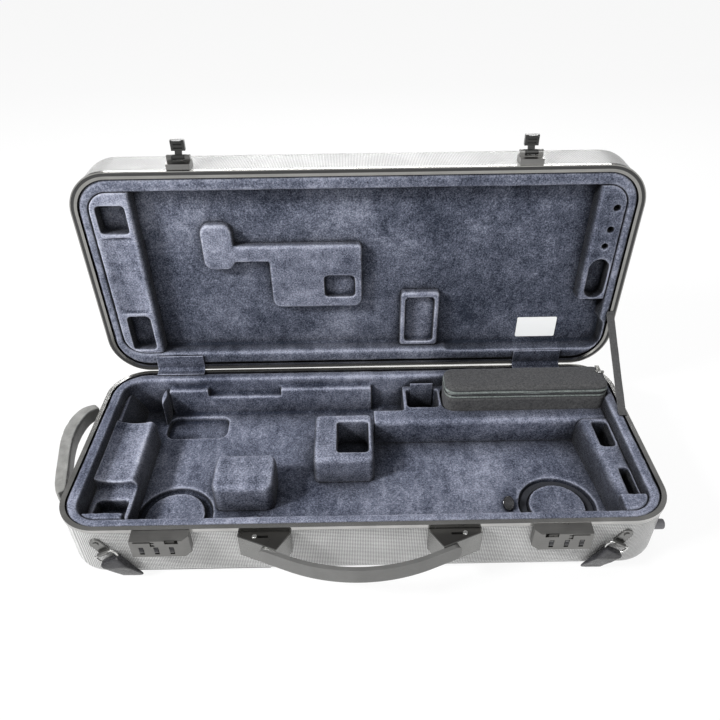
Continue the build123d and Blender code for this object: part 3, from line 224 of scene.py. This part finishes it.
def velvet(name, *tones):
    """Crushed velvet from the dark, middle and light tones of its nap."""
    make = Finish(name)
    place = make.coordinates()
    patches = make.noise(place, patch_scale, detail=4, roughness=0.62)
    strokes = make.noise(place, brush_scale, detail=4, roughness=0.7, stretch=brush_stretch)
    speckle = make.noise(place, speckle_scale, detail=4, roughness=0.85)
    pile = make.noise(place, pile_scale, detail=2, roughness=0.6)
    nap = make.mix_of((patches, patch_share), (strokes, brush_share), (speckle, speckle_share))
    # Painted shade and highlight: creases with low pointiness are darkened, and sharp edges are made a
    # little lighter
    crease_shade_and_edge_light = make.span(make.geometry("Pointiness"), edge_sharpness, painted_crease_and_edge_shift)
    colour = make.ramp(make.maths("ADD", nap, crease_shade_and_edge_light), nap_places, tones)
    # The nap's colour is darkened by the painted shade on walls and in corners
    make.paint(make.darken(colour, painted_velvet_shade(make)))
    make.set({
        "Roughness": 0.85,
        "Specular IOR Level": 0.12,
        "Sheen Weight": 0.1,
        "Sheen Roughness": 0.3,
        "Sheen Tint": (0.78, 0.8, 0.9, 1),
    })
    height = make.mix_of((speckle, speckle_height), (pile, pile_height))
    make.bump(height, strength=0.9, distance=nap_depth)
    return make.material


# Silver shell: a moulding with a fine diamond texture

shell_pitch = 0.0036
shell_slope = 0.75
level_facing = 0.7
net_share = 0.45
cloud_share = 0.24
shell_places = (0.0, 0.16, 0.5)
shell_tones = ((0.13, 0.13, 0.13), (0.4, 0.4, 0.396), (0.72, 0.72, 0.715))


def shell_directions(make, place):
    """Distances along and up the walls. On level faces they run along X and Y."""
    x, y, z = make.axes(place)
    upright = make.maths("ABSOLUTE", make.axes(make.coordinates("Normal"))[2])
    level = make.maths("GREATER_THAN", upright, level_facing)
    crossways = make.maths("MULTIPLY", y, level)
    along = make.maths("ADD", x, make.maths("SUBTRACT", y, crossways))
    return along, make.maths("ADD", z, crossways)


def knurled_shell(name):
    """Silver moulding whose diamonds are two crossing waves."""
    make = Finish(name)
    place = make.coordinates()
    along, rise = shell_directions(make, place)
    waves = []
    for slope in (shell_slope, -shell_slope):
        slant = make.maths("ADD", along, make.maths("MULTIPLY", rise, slope))
        waves.append(make.wave(slant, shell_pitch))
    net = make.maths("MULTIPLY", *waves)
    cloud = make.noise(place, 26, detail=3, roughness=0.5)
    tone = make.mix_of((net, net_share), (cloud, cloud_share))
    make.paint(make.ramp(tone, shell_places, shell_tones))
    make.set({"Metallic": 0.35, "Roughness": 0.32, "Coat Weight": 0.35, "Coat Roughness": 0.3})
    make.bump(net, strength=0.6, distance=0.0005)
    return make.material


# Metal, cloth, leather and plastic

grain_places = (0.35, 0.65)
metal_grain = (1, 60, 60)
roughness_spread = 0.16
thread_slope = 0.7
thread_share = 0.25
cloth_places = (0.25, 0.75)
pore_scale = 620
leather_places = (0.3, 0.7)
leather_wear_height = 0.4
inner_facing = (0.1, 0.45)


def satin_metal(name, colour, metallic, rough, spread=0.12):
    """Painted or plated metal with a faint directional grain and a little wear."""
    make = Finish(name)
    place = make.coordinates()
    lines = make.noise(place, 30, detail=4, roughness=0.6, stretch=metal_grain)
    blots = make.noise(place, 45, detail=3, roughness=0.5)
    tone = make.maths("MULTIPLY", make.maths("ADD", lines, blots), 0.5)
    make.paint(make.ramp(tone, grain_places, shades(colour, spread)))
    uneven = make.maths("MULTIPLY", blots, roughness_spread)
    roughness = make.maths("ADD", uneven, rough - roughness_spread / 2)
    make.put(roughness, make.shader.inputs["Roughness"])
    make.set({"Metallic": metallic})
    make.bump(lines, strength=0.12, distance=0.0002)
    return make.material


def woven(name, dark, light, pitch, sheen):
    """Cloth or webbing with crossing threads."""
    make = Finish(name)
    place = make.coordinates()
    x, y, z = make.axes(place)
    rise = make.maths("MULTIPLY", z, thread_slope)
    rows = [make.wave(make.maths("ADD", across, rise), pitch) for across in (x, y)]
    threads = make.maths("MULTIPLY", *rows)
    fuzz = make.noise(place, 420, detail=3, roughness=0.6)
    tone = make.maths("ADD", make.maths("MULTIPLY", threads, thread_share), fuzz)
    make.paint(make.ramp(tone, cloth_places, (dark, light)))
    make.set({"Roughness": 0.8, "Sheen Weight": sheen, "Sheen Tint": (0.6, 0.62, 0.7, 1)})
    make.bump(tone, strength=0.5, distance=0.0005)
    return make.material


def leather(name, dark, light, rough, shaded_side_share=1.0):
    """Grained leather with pores and worn tones. Faces towards +X are darkened to the shaded share:
    painted shade on the grip's side that faces the case.
    """
    make = Finish(name)
    place = make.coordinates()
    cells = make.add("ShaderNodeTexVoronoi")
    cells.inputs["Scale"].default_value = pore_scale
    make.put(place, cells.inputs["Vector"])
    wear = make.noise(place, 60, detail=4, roughness=0.6)
    colour = make.ramp(wear, leather_places, (dark, light))
    # Painted shade: faces towards +X keep only the shaded share of their colour
    side = make.span(make.axes(make.geometry("Normal"))[0], inner_facing, (1, shaded_side_share))
    make.paint(make.darken(colour, side))
    make.set({"Roughness": rough})
    worn = make.maths("MULTIPLY", wear, leather_wear_height)
    make.bump(make.maths("ADD", cells.outputs["Distance"], worn), strength=0.5, distance=0.0006)
    return make.material


def plastic(name, colour, rough, fleck=0.1):
    """Moulded plastic or rubber with a fine spark-eroded surface."""
    make = Finish(name)
    grain = make.noise(make.coordinates(), 900, detail=3, roughness=0.6)
    make.paint(make.ramp(grain, grain_places, shades(colour, fleck)))
    make.set({"Roughness": rough})
    make.bump(grain, strength=0.25, distance=0.0002)
    return make.material


# Three copies of one velvet: the block copy is lighter, painted light for the raised blocks and pads, and
# the lid copy a little darker, painted shade for the lid
velvet_base = velvet("velvet_base", (0.02, 0.025, 0.042), (0.125, 0.138, 0.188), (0.36, 0.38, 0.47))
velvet_block_lit = velvet("velvet_block_lit", (0.03, 0.036, 0.056), (0.185, 0.2, 0.262), (0.46, 0.48, 0.57))
velvet_lid_shaded = velvet("velvet_lid_shaded", (0.018, 0.023, 0.037), (0.115, 0.127, 0.172), (0.34, 0.36, 0.44))
shell = knurled_shell("shell_silver")
base_trim = satin_metal("base_trim_metal", (0.46, 0.457, 0.445), metallic=1.0, rough=0.2)
lid_trim = satin_metal("lid_trim_metal", (0.3, 0.297, 0.285), metallic=1.0, rough=0.2)
bright = satin_metal("bright_fitting", (0.62, 0.62, 0.61), metallic=1.0, rough=0.18, spread=0.05)
gunmetal = satin_metal("gunmetal", (0.2, 0.198, 0.192), metallic=1.0, rough=0.3)
black_metal = satin_metal("black_metal", (0.035, 0.035, 0.034), metallic=0.6, rough=0.3)
silver_fitting = satin_metal("silver_fitting", (0.22, 0.22, 0.214), metallic=0.95, rough=0.24)
dark_cover = satin_metal("dark_cover", (0.035, 0.034, 0.032), metallic=0.6, rough=0.3)
band_paint = satin_metal("band_paint", (0.15, 0.15, 0.146), metallic=0.5, rough=0.36)
black_chrome = satin_metal("black_chrome", (0.09, 0.09, 0.095), metallic=1.0, rough=0.14)
seal = plastic("seal_rubber", (0.02, 0.02, 0.02), rough=0.5)
black_plastic = plastic("black_plastic", (0.015, 0.015, 0.017), rough=0.35)
label_white = plastic("label_white", (0.95, 0.96, 0.96), rough=0.45, fleck=0.01)
foot_rubber = plastic("foot_rubber", (0.16, 0.16, 0.17), rough=0.55)
neoprene = woven("pouch_neoprene", (0.012, 0.012, 0.0125), (0.085, 0.085, 0.086), pitch=0.0014, sheen=0.15)
zip_cloth = woven("zip_tape", (0.05, 0.06, 0.056), (0.24, 0.27, 0.255), pitch=0.001, sheen=0.3)
webbing = woven("webbing", (0.03, 0.03, 0.03), (0.08, 0.08, 0.082), pitch=0.0014, sheen=0.05)
ring_cloth = woven("ring_cloth", (0.006, 0.007, 0.01), (0.02, 0.022, 0.03), pitch=0.0014, sheen=0.1)
grip_leather = leather("grip_leather", (0.13, 0.13, 0.124), (0.23, 0.23, 0.222), rough=0.4, shaded_side_share=0.25)
black_leather = leather("black_leather", (0.008, 0.008, 0.01), (0.03, 0.03, 0.034), rough=0.26)


# Hard pieces keep their CAD solids and take finished materials

finishes = {
    shell: ["base_shell", "lid_shell"],
    base_trim: ["base_rim_trim"],
    lid_trim: ["lid_rim_trim"],
    seal: ["rim_seal"],
    bright: ["zip_slider", "zip_pull", "hinge_pins", "lock_axles", "hasp_pins",
             "handle_screw_left", "handle_screw_right", "hanger_ring_left", "hanger_ring_right"],
    gunmetal: ["lock_bodies", "lock_slider_left", "lock_slider_right", "hasp_blocks"],
    black_metal: ["hasp_plate_left", "hasp_plate_right"],
    black_chrome: ["snap_stud", "strap_clip"],
    silver_fitting: ["handle_brackets", "side_brackets", "hanger_plates", "hinge_base_leaves",
                     "hinge_lid_leaves"],
    dark_cover: ["bracket_covers"],
    band_paint: ["handle_band"],
    black_plastic: [name for name in nodes if name.startswith("lock_dial_")],
    label_white: ["label_plate"],
    foot_rubber: ["end_feet"],
}
for finish, names in finishes.items():
    for name in names:
        for slot in nodes[name].material_slots:
            slot.material = finish


# Soft pieces are re-formed from their CAD solids: rounded, padded and a little uneven

voxel_growth = 1


def cloud_texture(name, size, depth):
    """A cloudy texture that pushes surfaces in and out."""
    texture = bpy.data.textures.new(name, "CLOUDS")
    texture.noise_scale = size
    texture.noise_depth = depth
    return texture


padding = cloud_texture("padding", size=0.03, depth=2)
creases = cloud_texture("creases", size=0.009, depth=3)


def copy_of(node):
    """A free copy of a CAD node's mesh, in a new object."""
    piece = bpy.data.objects.new(node + "_soft", nodes[node].data.copy())
    piece.data.materials.clear()
    scene.collection.objects.link(piece)
    return piece


def apply_modifiers(piece):
    """Writes a piece's modifiers into its mesh, and shades it smooth."""
    evaluated = piece.evaluated_get(bpy.context.evaluated_depsgraph_get())
    mesh = bpy.data.meshes.new_from_object(evaluated)
    piece.modifiers.clear()
    piece.data = mesh
    for polygon in mesh.polygons:
        polygon.use_smooth = True


def soften(node, voxel, rounding, wave, crease):
    """A node's copy, remeshed evenly, with rounded edges and a padded unevenness."""
    piece = copy_of(node)
    remesh = piece.modifiers.new("remesh", "REMESH")
    remesh.mode = "VOXEL"
    remesh.voxel_size = voxel * voxel_growth
    smooth = piece.modifiers.new("smooth", "SMOOTH")
    smooth.factor = 0.5
    smooth.iterations = rounding
    for strength, texture in ((wave, padding), (crease, creases)):
        push = piece.modifiers.new("push", "DISPLACE")
        push.texture = texture
        push.texture_coords = "LOCAL"
        push.strength = strength
        push.mid_level = 0.5
    apply_modifiers(piece)
    return piece


def paint(piece, finish):
    """Gives a finished piece its material, in place of any it had."""
    piece.data.materials.clear()
    piece.data.materials.append(finish)


# Velvet foam: node, body, material, voxel, rounds of smoothing, waves, creases and fill

pads = [
    ("base_lining", "base", velvet_base, 0.0017, 9, 0.0011, 0.0006, 0.9),
    ("left_end_block", "base", velvet_block_lit, 0.0015, 12, 0.0012, 0.0007, 0.8),
    ("rear_left_foams", "base", velvet_base, 0.0012, 8, 0.0006, 0.0004, 0.9),
    ("rear_ledge", "base", velvet_base, 0.0015, 12, 0.001, 0.0006, 0.85),
    ("right_end_block", "base", velvet_base, 0.0015, 12, 0.0012, 0.0007, 0.8),
    ("notched_block", "base", velvet_block_lit, 0.0013, 12, 0.0008, 0.0005, 0.85),
    ("small_block", "base", velvet_block_lit, 0.0013, 14, 0.0008, 0.0005, 0.9),
    ("corner_pads", "base", velvet_base, 0.0012, 12, 0.001, 0.0012, 0.6),
    ("lid_lining", "lid", velvet_lid_shaded, 0.0018, 9, 0.0009, 0.0004, 0.9),
    ("lid_left_block", "lid", velvet_block_lit, 0.0013, 10, 0.0009, 0.0005, 0.8),
    ("lid_right_block", "lid", velvet_lid_shaded, 0.0013, 10, 0.0008, 0.0005, 0.8),
    ("lid_pads", "lid", velvet_block_lit, 0.0013, 9, 0.0007, 0.0004, 0.85),
]
for node, body, finish, voxel, rounding, wave, crease, fill in pads:
    pad = soften(node, voxel, rounding, wave, crease)
    paint(pad, finish)
    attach(pad, body)
    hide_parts(node)


# The pouch: node, material, slot and rounds of smoothing

pouch_voxel = 0.0012
pouch_wave = 0.0022
pouch_crease = 0.0003

for node, finish, slot_name, rounding in (
    ("pouch_body", neoprene, "pouch_fabric", 40),
    ("pouch_cover", neoprene, "pouch_fabric", 75),
    ("pouch_zip", zip_cloth, "zip_tape", 3),
):
    bag = soften(node, pouch_voxel, rounding, pouch_wave, pouch_crease)
    paint(bag, finish)
    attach(bag, "pouch")
    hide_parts(node)

corner_steps = 10
zip_corner = 0.0125
piping_rise = 0.0036
piping_thickness = 0.0022
teeth_thickness = 0.0026


def rounded_loop(low, high, radius, level):
    """Points round a level rectangle with rounded corners."""
    points = []
    corners = (
        (high[0] - radius, high[1] - radius, 0),
        (low[0] + radius, high[1] - radius, 90),
        (low[0] + radius, low[1] + radius, 180),
        (high[0] - radius, low[1] + radius, 270),
    )
    for x, y, start in corners:
        for step in range(corner_steps + 1):
            angle = math.radians(start + 90 * step / corner_steps)
            points.append((x + radius * math.cos(angle), y + radius * math.sin(angle), level))
    return points


def zip_line(name, points, thickness, finish):
    """A closed round line through the points, on the pouch."""
    curve = bpy.data.curves.new(name, "CURVE")
    curve.dimensions = "3D"
    curve.bevel_depth = thickness / 2
    curve.bevel_resolution = 2
    spline = curve.splines.new("POLY")
    spline.points.add(len(points) - 1)
    for point, place in zip(spline.points, points):
        point.co = (*place, 1)
    spline.use_cyclic_u = True
    line = bpy.data.objects.new(name, curve)
    scene.collection.objects.link(line)
    paint(line, finish)
    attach(line, "pouch")


zip_low, zip_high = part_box("pouch_zip")
zip_middle = (zip_low[2] + zip_high[2]) / 2
for name, rise, thickness, finish in (
    ("zip_piping_low", -piping_rise, piping_thickness, zip_cloth),
    ("zip_piping_high", piping_rise, piping_thickness, zip_cloth),
    ("zip_teeth", 0.0, teeth_thickness, black_plastic),
):
    zip_line(name, rounded_loop(zip_low, zip_high, zip_corner, zip_middle + rise), thickness, finish)


# The side grip, and flat strips that ride on the base

grip = soften("side_grip", voxel=0.0011, rounding=34, wave=0.0006, crease=0.0002)
paint(grip, grip_leather)
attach(grip, "base")
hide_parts("side_grip")

for node, finish, slot_name in (
    ("ring_strap", ring_cloth, "navy_velvet"),
    ("pocket_flap", velvet_base, "navy_velvet"),
    ("strap_tail", black_leather, "black_leather"),
):
    strip = soften(node, voxel=0.0005, rounding=3, wave=0.0002, crease=0.0001)
    paint(strip, finish)
    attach(strip, "base")
    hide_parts(node)


# Cloth that crosses the lid's hinge, with a point on the base and one on the lid; it is softened and fixed
# where it lies

for node, finish, slot_name, wave, crease, on_base, on_lid in (
    ("hinge_flaps", velvet_base, "navy_velvet", 0.0006, 0.0004, (0, 0.136, 0.081), (0, 0.1415, 0.088)),
    ("stay_strap", webbing, "webbing", 0.0004, 0.0002, (0.33, 0.042, 0.086), (0.33, 0.139, 0.155)),
):
    cloth = soften(node, voxel=0.0006, rounding=3, wave=wave, crease=crease)
    paint(cloth, finish)
    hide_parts(node)
    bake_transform(cloth)


# Leather ends that hang on the two rings

for side in ("left", "right"):
    node = "hanger_strap_" + side
    strap = soften(node, voxel=0.0008, rounding=16, wave=0.0018, crease=0.0007)
    paint(strap, black_leather)
    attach(strap, "ring_" + side)
    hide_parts(node)


# Stage: a pale floor and room, nearly white to the camera and to glass. Metal sees a dimmer room

white = (1, 1, 1, 1)
floor_colour = (0.86, 0.86, 0.86, 1)
floor_reach = 30
floor_glow = 0.91
room_light = (0.2, 1.0)
room_gloss = 0.1


def pale_floor():
    """The floor's material: matt, and glowing only where it is seen."""
    make = Finish("pale_floor")
    make.set({"Base Color": floor_colour, "Roughness": 0.9})
    glow = make.add("ShaderNodeEmission")
    glow.inputs["Color"].default_value = white
    path = make.add("ShaderNodeLightPath").outputs
    seen = make.maths("MAXIMUM", path["Is Camera Ray"], path["Is Glossy Ray"])
    seen = make.maths("MAXIMUM", seen, path["Is Transmission Ray"])
    mixed = make.add("ShaderNodeMixShader")
    make.put(make.maths("MULTIPLY", seen, floor_glow), mixed.inputs[0])
    make.put(make.shader.outputs[0], mixed.inputs[1])
    make.put(glow.outputs[0], mixed.inputs[2])
    make.put(mixed.outputs[0], make.tree.nodes["Material Output"].inputs["Surface"])
    return make.material


def lay_floor(finish):
    """A large level floor under the case."""
    mesh = bpy.data.meshes.new("floor")
    form = bmesh.new()
    bmesh.ops.create_grid(form, x_segments=1, y_segments=1, size=floor_reach)
    form.to_mesh(mesh)
    form.free()
    mesh.materials.append(finish)
    floor = bpy.data.objects.new("floor", mesh)
    scene.collection.objects.link(floor)


def studio_room():
    """A white room that gives a low even light."""
    world = bpy.data.worlds.new("studio")
    world.use_nodes = True
    make = Graph(world.node_tree)
    path = make.add("ShaderNodeLightPath").outputs
    gloss = make.maths("MULTIPLY", path["Is Glossy Ray"], room_gloss)
    seen = make.maths("MAXIMUM", path["Is Camera Ray"], gloss)
    seen = make.maths("MAXIMUM", seen, path["Is Transmission Ray"])
    background = make.tree.nodes["Background"]
    background.inputs["Color"].default_value = white
    make.put(make.span(seen, (0, 1), room_light), background.inputs["Strength"])
    scene.world = world


lay_floor(pale_floor())
studio_room()


# Lamps, with their power in watts


def area_light(name, place, target, size, power):
    """A large soft lamp that faces a point."""
    lamp = bpy.data.lights.new(name, "AREA")
    lamp.shape = "RECTANGLE"
    lamp.size, lamp.size_y = size
    lamp.energy = power
    holder = bpy.data.objects.new(name, lamp)
    holder.location = place
    holder.rotation_euler = (Vector(target) - Vector(place)).to_track_quat("-Z", "Y").to_euler()
    scene.collection.objects.link(holder)


area_light("key", place=(-1.75, -0.8, 1.55), target=(0, 0.05, 0.1), size=(0.45, 0.35), power=78)
area_light("fill", place=(0.6, -1.7, 1.15), target=(0, 0, 0.15), size=(1.2, 0.8), power=15)
area_light("top", place=(0.1, 0.15, 2.3), target=(0, 0.05, 0.1), size=(1.0, 0.6), power=13)
area_light("rim", place=(0, 1.35, 1.0), target=(0, 0.17, 0.37), size=(1.6, 0.25), power=17)


# Camera: the photograph's place and view. Angles are in degrees, sensor and lens in millimetres

camera_place = (-0.00599, -0.61063, 0.64698)
camera_pitch = 38.442
camera_yaw = 0.387
camera_roll = -0.733
sensor_width = 36
lens_length = 33.66
lens_shift = 0.0331
nearest_view = 0.01


def camera_turn():
    """The camera's rotation, from how far it looks down, turns and leans."""
    pitch, yaw, roll = (math.radians(a) for a in (camera_pitch, camera_yaw, camera_roll))
    forward = Vector((math.sin(yaw) * math.cos(pitch), math.cos(yaw) * math.cos(pitch), -math.sin(pitch)))
    right = Vector((math.cos(yaw), -math.sin(yaw), 0))
    up = right.cross(forward)
    level_right = math.cos(roll) * right + math.sin(roll) * up
    level_up = math.cos(roll) * up - math.sin(roll) * right
    return Matrix((level_right, level_up, -forward)).transposed().to_4x4()


lens = bpy.data.cameras.new("camera")
lens.sensor_width = sensor_width
lens.lens = lens_length
lens.shift_y = lens_shift
lens.clip_start = nearest_view
camera = bpy.data.objects.new("camera", lens)
camera.matrix_world = Matrix.Translation(camera_place) @ camera_turn()
scene.collection.objects.link(camera)
scene.camera = camera

scene.view_settings.view_transform = "Standard"
